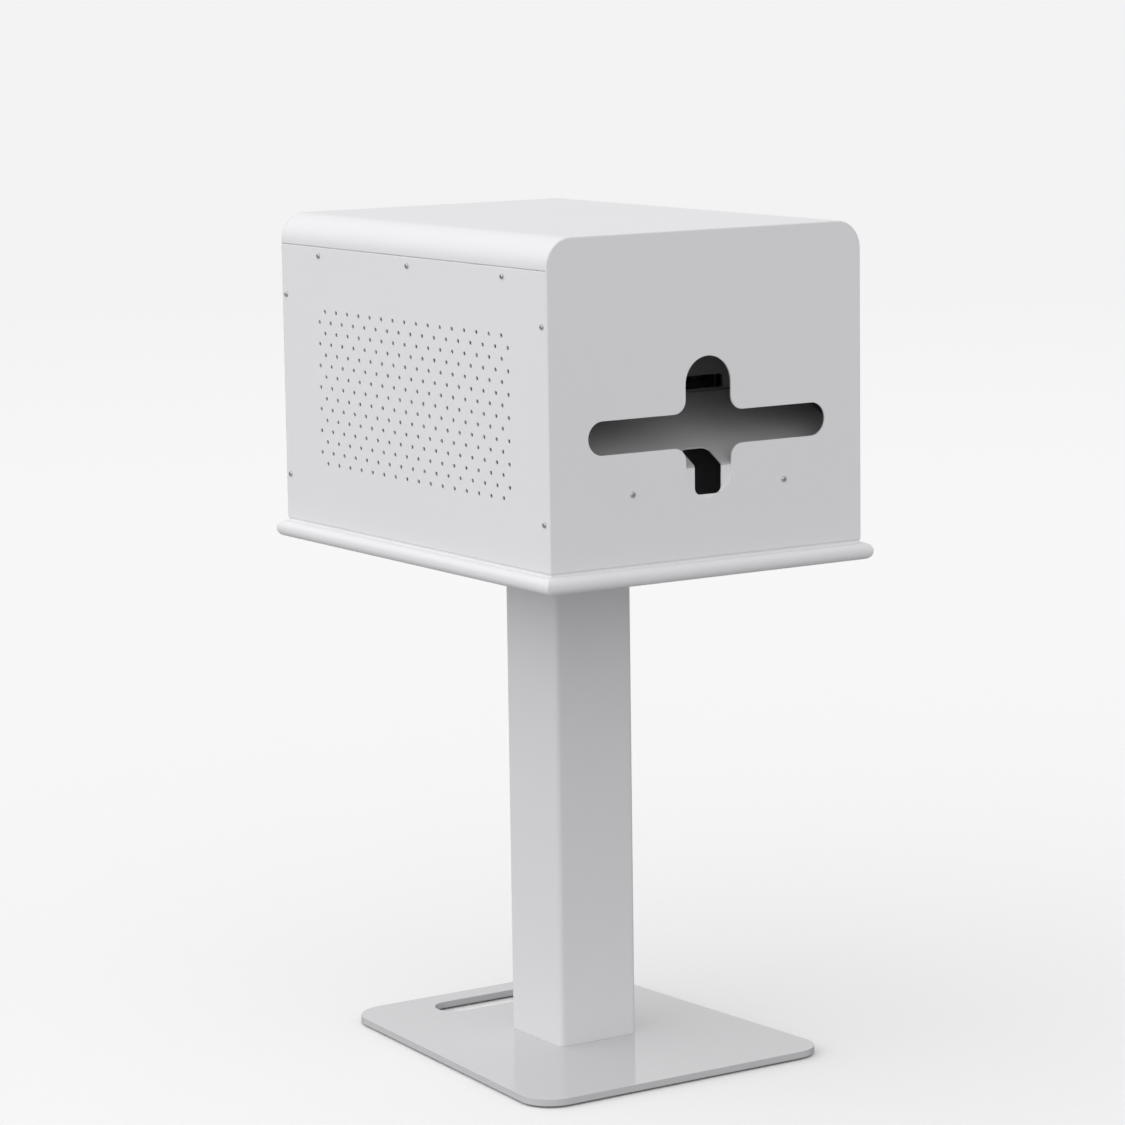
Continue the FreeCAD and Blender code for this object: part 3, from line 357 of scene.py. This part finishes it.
PRINTER_PLASTIC = surface("moulded dark plastic", (0.24, 0.24, 0.245), 0.48, spread=0.1, bump=0.5)
ROLLER_RUBBER = surface("ground roller rubber", (0.06, 0.06, 0.065), 0.6, spread=0.15, bump=0.3)
PAPER = surface("photo paper", (0.86, 0.86, 0.84), 0.35, spread=0.02, bump=0.1)
BLACK_PLASTIC = surface("black plastic", (0.018, 0.018, 0.02), 0.42, spread=0.1)
RIBBON = surface("dye ribbon film", (0.10, 0.02, 0.07), 0.2, spread=0.3, gloss_spread=0.06)
ALUMINIUM = surface("machined aluminium", (0.68, 0.69, 0.70), 0.32, metallic=1.0, spread=0.05)
BOARD = surface("circuit board", (0.02, 0.12, 0.05), 0.4, spread=0.15)
FOAM = surface("dark filter foam", (0.08, 0.08, 0.08), 0.9, spread=0.3, wave_size=0.6, bump=0.9, depth=0.0004)

FINISH = {
    "white_powder": WHITE,
    "zinc_steel": ZINC,
    "screw_steel": SCREW,
    "hinge_steel": STAINLESS,
    "lock_chrome": CHROME,
    "black_rubber": RUBBER,
    "printer_shell": PRINTER_PAINT,
    "printer_plastic": PRINTER_PLASTIC,
    "roller_rubber": ROLLER_RUBBER,
    "photo_paper": PAPER,
    "black_plastic": BLACK_PLASTIC,
    "ribbon_film": RIBBON,
    "machined_aluminium": ALUMINIUM,
    "circuit_board": BOARD,
    "filter_foam": FOAM,
}


def finish_cad_nodes():
    """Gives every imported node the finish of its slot."""
    for part in frame["record"]["subparts"]:
        obj = frame["nodes"][part["node"]]
        obj.data.materials.clear()
        obj.data.materials.append(FINISH[part["material_slot"]])


# ---- Stand ----

def floor_plate():
    """Thick plate, narrower at the back, with round corners and a hand slot."""
    low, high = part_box("base_plate")
    plate = block((-PLATE_FRONT / 2, low.y, low.z), (PLATE_FRONT / 2, high.y, high.z))
    pick(plate, "VERT", lambda v: v.co.y > 0)
    centre = (0, high.y, (low.z + high.z) / 2)
    bpy.ops.transform.resize(value=(PLATE_BACK / PLATE_FRONT, 1, 1), center_override=centre)
    done()
    round_edges(plate, lambda e: runs_along(e, 2), PLATE_CORNER, 14)
    length, width, inset = HAND_SLOT
    cut(plate, stadium(length, width, 2 * (high.z - low.z + PAST), (0, high.y - inset, low.z), "Z"))
    soften(plate, PLATE_EDGE, 3)
    keep(plate, "floor_plate", CABINET, "white_powder", PLATE_WHITE_WITH_PAINTED_SHADE, "base_plate")


def post():
    """Square tube with small round corners, open inside, and a cable hole low in its rear wall."""
    tube = block(post_low, post_high)
    remove_faces(tube, lambda f: abs(f.normal.z) > 0.9)
    round_edges(tube, lambda e: runs_along(e, 2), POST_CORNER, 8)
    thicken(tube, POST_WALL)
    ring_low, ring_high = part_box("post_grommet")
    hole_z = (ring_low.z + ring_high.z) / 2
    cut(tube, bar(CABLE_HOLE, (0, post_high.y - PAST, hole_z), (0, post_high.y + PAST, hole_z)))
    soften(tube)
    keep(tube, "post", CABINET, "white_powder", POST_WHITE_WITH_PAINTED_SHADE, "post_tube")


# ---- Cabinet ----

def tray():
    """Pan whose rim rolls out, up and back in to the walls, with mitred corners."""
    pan = block(tray_low, tray_high)
    round_edges(pan, lambda e: not runs_along(e, 2), TRAY_BEND, 8)
    pick(pan, "FACE", lambda f: f.normal.z > 0.999 and f.calc_center_median().z > tray_high.z - 0.0001)
    inset = tray_high.x - TRAY_BEND - half_width - TRAY_GROOVE
    bpy.ops.mesh.inset(thickness=inset)
    bpy.ops.mesh.delete(type="FACE")
    done()
    thicken(pan, SHEET)
    soften(pan, FINE_EDGE)
    keep(pan, "tray", CABINET, "white_powder", WHITE, "cabinet_tray")


def arched_panel(y0, y1, half, low, high, radius):
    panel = block((-half, y0, low), (half, y1, high))
    round_edges(panel, lambda e: runs_along(e, 1) and middle(e).z > high - 0.0001, radius, 16)
    return panel


def return_flange(y0, y1):
    """Closed ring behind a panel, lapped inside the sides and the top."""
    inset = SHEET + LAP
    ring = arched_panel(y0, y1, half_width - inset, tray_floor, top - inset, SHOULDER - inset)
    remove_faces(ring, lambda f: abs(f.normal.y) > 0.9)
    thicken(ring, SHEET)
    return ring


def press_groove(panel):
    """Presses a shallow round groove into a wall, all along the rim of the tray."""
    height, depth = WALL_GROOVE
    radius = (height ** 2 / 4 + depth ** 2) / (2 * depth)
    out = radius - depth
    z = rim + height / 2
    reach = 0.3
    low = [min(v.co[axis] for v in panel.data.vertices) for axis in (0, 1)]
    high = [max(v.co[axis] for v in panel.data.vertices) for axis in (0, 1)]
    for side in (-1, 1):
        x = side * (half_width + out)
        if near(low[0] if side < 0 else high[0], side * half_width):
            cut(panel, bar(radius, (x, -reach, z), (x, reach, z), 48))
        y = side * (rear + out)
        if near(low[1] if side < 0 else high[1], side * rear):
            cut(panel, bar(radius, (-reach, y, z), (reach, y, z), 48))


def end_panel(outer_y, inner_y):
    """Front or rear panel before its opening is cut: arched, with a rounded outer edge."""
    panel = arched_panel(min(outer_y, inner_y), max(outer_y, inner_y), half_width, tray_floor, top, SHOULDER)
    round_edges(panel, lambda e: all(near(v.co.y, outer_y) for v in e.verts)
                and middle(e).z > tray_floor + EDGE, CORNER_BEND, 4)
    return panel


def front_panel():
    panel = end_panel(front, front + SHEET)
    length, height, _ = SLOT
    width, bottom, high = NOTCH
    centre = (0, front, slot_z)
    cut(panel, stadium(length, height, PAST, centre, "Y"))
    cut(panel, stadium(high - bottom, width, PAST, (0, front, rim + (high + bottom) / 2), "Y_TALL"))
    corner = (width / 2, height / 2)
    round_edges(panel, lambda e: runs_along(e, 1) and near(abs(middle(e).x), corner[0])
                and near(abs(middle(e).z - slot_z), corner[1]), OPENING_FILLET, 8)
    press_groove(panel)
    soften(panel)
    flange = return_flange(front + SHEET, panel_high.y)
    soften(flange)
    keep(join([panel, flange]), "front_plate", CABINET, "white_powder", WHITE, "front_panel")


def top_cover():
    """Top and round shoulders in one sheet, joggled to lap inside the side panels."""
    low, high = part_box("top_cover")
    drop = seam - low.z
    cover = block((low.x, low.y, seam), high)
    remove_faces(cover, lambda f: f.normal.z < -0.9 or abs(f.normal.y) > 0.9)
    round_edges(cover, lambda e: runs_along(e, 1) and middle(e).z > high.z - 0.0001, SHOULDER, 20)
    for y in (-LAP_END, LAP_END):
        pick(cover, "FACE", lambda f: True)
        bpy.ops.mesh.bisect(plane_co=(0, y, 0), plane_no=(0, 1, 0))
        done()
    for side in (-1, 1):
        pick(cover, "EDGE", lambda e: runs_along(e, 1) and near(middle(e).z, seam)
             and middle(e).x * side > 0 and abs(middle(e).y) < 0.1)
        step = (-side * (SHEET + LAP), 0, 0)
        bpy.ops.mesh.extrude_region_move(TRANSFORM_OT_translate={"value": step})
        bpy.ops.mesh.extrude_region_move(TRANSFORM_OT_translate={"value": (0, 0, -drop)})
        done()
    thicken(cover, SHEET)
    round_edges(cover, lambda e: runs_along(e, 1) and near(middle(e).z, seam)
                and near(abs(middle(e).x), half_width), SEAM_EDGE, 3)
    soften(cover)
    keep(cover, "top_shell", CABINET, "white_powder", WHITE, "top_cover")


def vent_cutter(side):
    """Round cutters for the staggered ventilation field of one side."""
    radius, pitch, from_front, above_rim = VENT
    x = side * half_width
    y = front + from_front
    z = rim + above_rim
    rows = (VENT_ROWS + 1) // 2
    fields = []
    for short in (1, 0):
        start = y + short * pitch / 2
        low = z + (1 - short) * pitch / 2
        hole = bar(radius, (x - VENT_REACH, start, low), (x + VENT_REACH, start, low), 16)
        modify(hole, "ARRAY", count=VENT_COLUMNS - short, use_relative_offset=False,
               use_constant_offset=True, constant_offset_displace=(0, pitch, 0))
        modify(hole, "ARRAY", count=rows - (1 - short), use_relative_offset=False,
               use_constant_offset=True, constant_offset_displace=(0, 0, pitch))
        fields.append(hole)
    return join(fields)


def side_panel(side, word):
    low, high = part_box("side_panel_" + word)
    panel = block(low, high)
    round_edges(panel, lambda e: runs_along(e, 1) and near(middle(e).z, high.z)
                and near(middle(e).x, side * half_width), SEAM_EDGE, 3)
    cut(panel, vent_cutter(side))
    press_groove(panel)
    soften(panel, FINE_EDGE, 1)
    keep(panel, "side_plate_" + word, CABINET, "white_powder", WHITE, "side_panel_" + word)


def print_ramp():
    """Flange behind the front, bent back into a ramp that rises to the printer, with a finger notch."""
    low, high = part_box("print_chute")
    bend_z = rim + RAMP_BEND[0]
    end_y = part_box("printer_bezel")[0].y - RAMP_GAP
    ramp = block(low, (high.x, low.y + RAMP_SHEET, bend_z))
    remove_faces(ramp, lambda f: f.normal.y > -0.9)
    pick(ramp, "EDGE", lambda e: near(middle(e).z, bend_z))
    rise = (0, end_y - low.y, high.z - bend_z)
    bpy.ops.mesh.extrude_region_move(TRANSFORM_OT_translate={"value": rise})
    done()
    turn = math.pi / 2 - math.atan2(rise[2], rise[1])
    round_edges(ramp, lambda e: near(middle(e).z, bend_z) and runs_along(e, 0),
                RAMP_BEND[1] * math.tan(turn / 2), 6)
    pick(ramp, "EDGE", lambda e: near(abs(middle(e).x), high.x) and middle(e).z > bend_z + RAMP_SIDE)
    bpy.ops.mesh.extrude_region_move(TRANSFORM_OT_translate={"value": (0, 0, -RAMP_SIDE)})
    done()
    thicken(ramp, RAMP_SHEET)
    width, bottom, depth, corner = FINGER
    reach = 0.004                  # half the depth of the cutter through the flange
    lap = 0.008                    # how far below the bend the cutter through the ramp starts
    across = block((-width / 2, low.y - reach, rim + bottom), (width / 2, low.y + reach, bend_z + PAST))
    round_edges(across, lambda e: runs_along(e, 1) and near(middle(e).z, rim + bottom), corner, 8)
    cut(ramp, across)
    deep = block((-width / 2, low.y - reach, bend_z - lap),
                 (width / 2, low.y + depth, bend_z + depth + PAST))
    round_edges(deep, lambda e: runs_along(e, 2) and near(middle(e).y, low.y + depth), corner, 8)
    cut(ramp, deep)
    soften(ramp)
    keep(ramp, "print_ramp", CABINET, "white_powder", RAMP_WHITE_WITH_PAINTED_SHADE, "print_chute")
    # Painted shade: the ramp above the bend keeps the darker copy of the white coat for the shade inside the
    # cabinet, and the flange below the bend gets the plain white coat.
    ramp.data.materials.append(WHITE)
    for face in ramp.data.polygons:
        face.material_index = 1 if face.center.z < bend_z - RAMP_BEND[1] else 0


def rear_frame():
    """Rear panel with a return flange and the opening that the door closes."""
    panel = end_panel(rear, rear - SHEET)
    low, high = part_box("rear_door")
    gap = Vector((DOOR_GAP, PAST, DOOR_GAP))
    opening = block(low - gap, high + gap)
    round_edges(opening, lambda e: runs_along(e, 1), DOOR_CORNER, 6)
    cut(panel, opening)
    press_groove(panel)
    soften(panel)
    flange = return_flange(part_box("rear_frame")[0].y, rear - SHEET)
    soften(flange)
    keep(join([panel, flange]), "rear_plate", CABINET, "white_powder", WHITE, "rear_frame")


def rear_door():
    """Door folded from one sheet: a flat face with an edge turned in all round, and a hole for the lock."""
    low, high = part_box("rear_door")
    door = block(low, high)
    round_edges(door, lambda e: runs_along(e, 1), DOOR_CORNER, 6)
    remove_faces(door, lambda f: f.normal.y < -0.9)
    round_edges(door, lambda e: all(near(v.co.y, high.y) for v in e.verts), CORNER_BEND, 4)
    thicken(door, SHEET)
    lock_low, lock_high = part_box("lock_body")
    place = (lock_low + lock_high) / 2
    cut(door, bar(LOCK_HOLE, (place.x, low.y - PAST, place.z), (place.x, high.y + PAST, place.z), 48))
    soften(door)
    keep(door, "rear_door_panel", DOOR, "white_powder", WHITE, "rear_door")


# ---- Screws and feet ----

def pan_screw():
    """Domed head with a cross recess on a plain shank, standing on the origin."""
    radius, height = SCREW_HEAD
    head = bar(radius, (0, 0, 0), (0, 0, height), 24)
    round_edges(head, lambda e: all(near(v.co.z, height) for v in e.verts), height * 0.9, 5)
    arm = radius * 0.52
    blade = radius * 0.13
    for half in ((arm, blade), (blade, arm)):
        cut(head, block((-half[0], -half[1], height * 0.45), (half[0], half[1], height * 2)))
    shank_radius, length = SCREW_SHANK
    shank = bar(shank_radius, (0, 0, -length), (0, 0, height * 0.2), 16)
    round_edges(shank, lambda e: all(near(v.co.z, -length) for v in e.verts), shank_radius * 0.4, 2)
    screw = join([head, shank])
    use(screw)
    bpy.ops.object.shade_smooth_by_angle(angle=math.radians(30))
    return screw


def copies(piece, places, outward):
    """Sets a copy of a piece at each place, turned to face outward, and joins them."""
    made = []
    for place in places:
        twin = piece.copy()
        twin.data = piece.data.copy()
        bpy.context.scene.collection.objects.link(twin)
        twin.rotation_euler = Vector(outward).to_track_quat("Z", "Y").to_euler()
        twin.location = place
        made.append(settle(twin))
    return join(made)


def solid_middles(node_name):
    """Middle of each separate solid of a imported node."""
    mesh = bmesh.new()
    mesh.from_mesh(frame["nodes"][node_name].data)
    bmesh.ops.remove_doubles(mesh, verts=mesh.verts, dist=0.00001)
    left = set(mesh.verts)
    middles = []
    while left:
        island = [left.pop()]
        for vert in island:
            for edge in vert.link_edges:
                other = edge.other_vert(vert)
                if other in left:
                    left.discard(other)
                    island.append(other)
        spans = [(min(v.co[a] for v in island), max(v.co[a] for v in island)) for a in range(3)]
        middles.append(Vector([(a + b) / 2 for a, b in spans]))
    mesh.free()
    return sorted(middles, key=lambda m: (round(m.x, 4), round(m.y, 4), round(m.z, 4)))


def visible_screws():
    screw = pan_screw()
    for name, node_name, outward in (("left_side_screws", "side_screws_left", (-1, 0, 0)),
                                     ("right_side_screws", "side_screws_right", (1, 0, 0)),
                                     ("ramp_screws", "chute_screws", (0, -1, 0))):
        places = []
        for place in solid_middles(node_name):
            if outward[0]:
                place.x = outward[0] * half_width
            else:
                place.y = front
            places.append(place)
        keep(copies(screw, places, outward), name, CABINET, "screw_steel", SCREW, node_name)
    bpy.data.objects.remove(screw)


def pads():
    """Round rubber pads with a soft lower edge and a shallow ring."""
    low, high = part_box("base_pads")
    places = solid_middles("base_pads")
    pad = bar(PAD_RADIUS, (0, 0, 0), (0, 0, high.z), 48)
    pick(pad, "FACE", lambda f: f.normal.z < -0.9)
    bpy.ops.mesh.inset(thickness=PAD_RADIUS * 0.35)
    bpy.ops.mesh.extrude_region_move(TRANSFORM_OT_translate={"value": (0, 0, high.z * 0.3)})
    done()
    soften(pad, PAD_EDGE, 3)
    flat = [Vector((place.x, place.y, 0)) for place in places]
    keep(copies(pad, flat, (0, 0, 1)), "foot_pads", CABINET, "black_rubber", RUBBER, "base_pads")
    bpy.data.objects.remove(pad)


finish_cad_nodes()
floor_plate()
post()
tray()
front_panel()
rear_frame()
top_cover()
side_panel(-1, "left")
side_panel(1, "right")
print_ramp()
rear_door()
visible_screws()
pads()


# ---- Room, light and camera ----

FLOOR_RADIUS = 400.0
FLOOR_NEAR = 0.99          # how pale the floor looks beside the object and far behind it; paler beside the object as a painted pool of light
FLOOR_FAR = 0.95
FLOOR_FADE = (2.5, 9.0)    # metres from the object
FLOOR_BOUNCE = 0.36        # how much light it sends back up at the object
BACKDROP = 0.88            # how pale the wall of air looks above the floor
AIR = 1.40                 # even part of the light
AIR_LEFT = 0.60            # how much brighter the air is to the left, the front and overhead; below 0, darker
AIR_FRONT = -0.02
AIR_UP = -0.66
AIR_LOW = 0.45             # share of the light that comes from the horizon
AIR_RISE = 0.28            # height in the air where the light is full again


def floor():
    """Plain pale floor, far wider than the view, a little paler near the object as a painted pool of light.
    """
    bpy.ops.object.select_all(action="DESELECT")
    bpy.ops.mesh.primitive_circle_add(vertices=128, radius=FLOOR_RADIUS, fill_type="NGON")
    ground = bpy.context.object
    ground.name = "studio_floor"
    pale = bpy.data.materials.new("pale floor")
    pale.use_nodes = True
    tree = pale.node_tree
    skin = tree.nodes["Principled BSDF"]
    skin.inputs["Roughness"].default_value = 1.0
    skin.inputs["Specular IOR Level"].default_value = 0.0
    place = node(tree, "TexCoord")
    distance = node(tree, "VectorMath")
    distance.operation = "LENGTH"
    fade = tree.nodes.new("ShaderNodeMapRange")
    fade.interpolation_type = "SMOOTHSTEP"
    fade.inputs["From Min"].default_value, fade.inputs["From Max"].default_value = FLOOR_FADE
    fade.inputs["To Min"].default_value = FLOOR_NEAR
    fade.inputs["To Max"].default_value = FLOOR_FAR
    rays = tree.nodes.new("ShaderNodeLightPath")
    tone = tree.nodes.new("ShaderNodeMix")
    tone.data_type = "RGBA"
    tone.inputs[6].default_value = (FLOOR_BOUNCE, FLOOR_BOUNCE, FLOOR_BOUNCE, 1)
    tree.links.new(place.outputs["Object"], distance.inputs[0])
    tree.links.new(distance.outputs["Value"], fade.inputs["Value"])
    tree.links.new(fade.outputs["Result"], tone.inputs[7])
    tree.links.new(rays.outputs["Is Camera Ray"], tone.inputs[0])
    tree.links.new(tone.outputs[2], skin.inputs["Base Color"])
    ground.data.materials.append(pale)


def studio():
    """Soft white light from all round, strongest from the left, dimmer overhead and at the horizon."""
    world = bpy.data.worlds.new("studio air")
    world.use_nodes = True
    tree = world.node_tree
    air = tree.nodes["Background"]
    air.inputs["Color"].default_value = (1.0, 1.0, 1.0, 1)
    towards = node(tree, "TexCoord")
    slope = node(tree, "VectorMath")
    slope.operation = "DOT_PRODUCT"
    slope.inputs[1].default_value = (-AIR_LEFT, -AIR_FRONT, AIR_UP)
    level = node(tree, "Math")
    level.operation = "ADD"
    level.inputs[1].default_value = AIR
    parts = tree.nodes.new("ShaderNodeSeparateXYZ")
    rise = tree.nodes.new("ShaderNodeMapRange")
    rise.interpolation_type = "SMOOTHSTEP"
    rise.inputs["From Max"].default_value = AIR_RISE
    rise.inputs["To Min"].default_value = AIR_LOW
    dimmed = node(tree, "Math")
    dimmed.operation = "MULTIPLY"
    rays = tree.nodes.new("ShaderNodeLightPath")
    shown = tree.nodes.new("ShaderNodeMix")
    shown.inputs[3].default_value = BACKDROP
    tree.links.new(towards.outputs["Generated"], slope.inputs[0])
    tree.links.new(towards.outputs["Generated"], parts.inputs[0])
    tree.links.new(parts.outputs["Z"], rise.inputs["Value"])
    tree.links.new(slope.outputs["Value"], level.inputs[0])
    tree.links.new(level.outputs[0], dimmed.inputs[0])
    tree.links.new(rise.outputs["Result"], dimmed.inputs[1])
    tree.links.new(rays.outputs["Is Camera Ray"], shown.inputs[0])
    tree.links.new(dimmed.outputs[0], shown.inputs[2])
    tree.links.new(shown.outputs[0], air.inputs["Strength"])
    bpy.context.scene.world = world
    bpy.context.scene.view_settings.view_transform = "Standard"


CAMERA_TURN = (-33.2235, 8.6963, -0.8181)  # degrees round the object, above it, and tilt
CAMERA_PLACE = (-1.9971, -3.0409, 1.0052)
LENS = 128.78                              # millimetres, on a sensor this wide
SENSOR = 36.0


def camera():
    """Camera at the front left, a little above the cabinet's top."""
    azimuth, elevation, roll = (math.radians(angle) for angle in CAMERA_TURN)
    back = Vector((math.sin(azimuth) * math.cos(elevation), -math.cos(azimuth) * math.cos(elevation),
                   math.sin(elevation)))
    level = Vector((math.cos(azimuth), math.sin(azimuth), 0))
    right = math.cos(roll) * level + math.sin(roll) * back.cross(level)
    up = back.cross(right)
    lens = bpy.data.cameras.new("camera")
    lens.sensor_width = SENSOR
    lens.lens = LENS
    eye = bpy.data.objects.new("camera", lens)
    bpy.context.scene.collection.objects.link(eye)
    eye.rotation_mode = "QUATERNION"
    eye.rotation_quaternion = Matrix((right, up, back)).transposed().to_quaternion()
    eye.location = CAMERA_PLACE
    bpy.context.scene.camera = eye


floor()
studio()
camera()
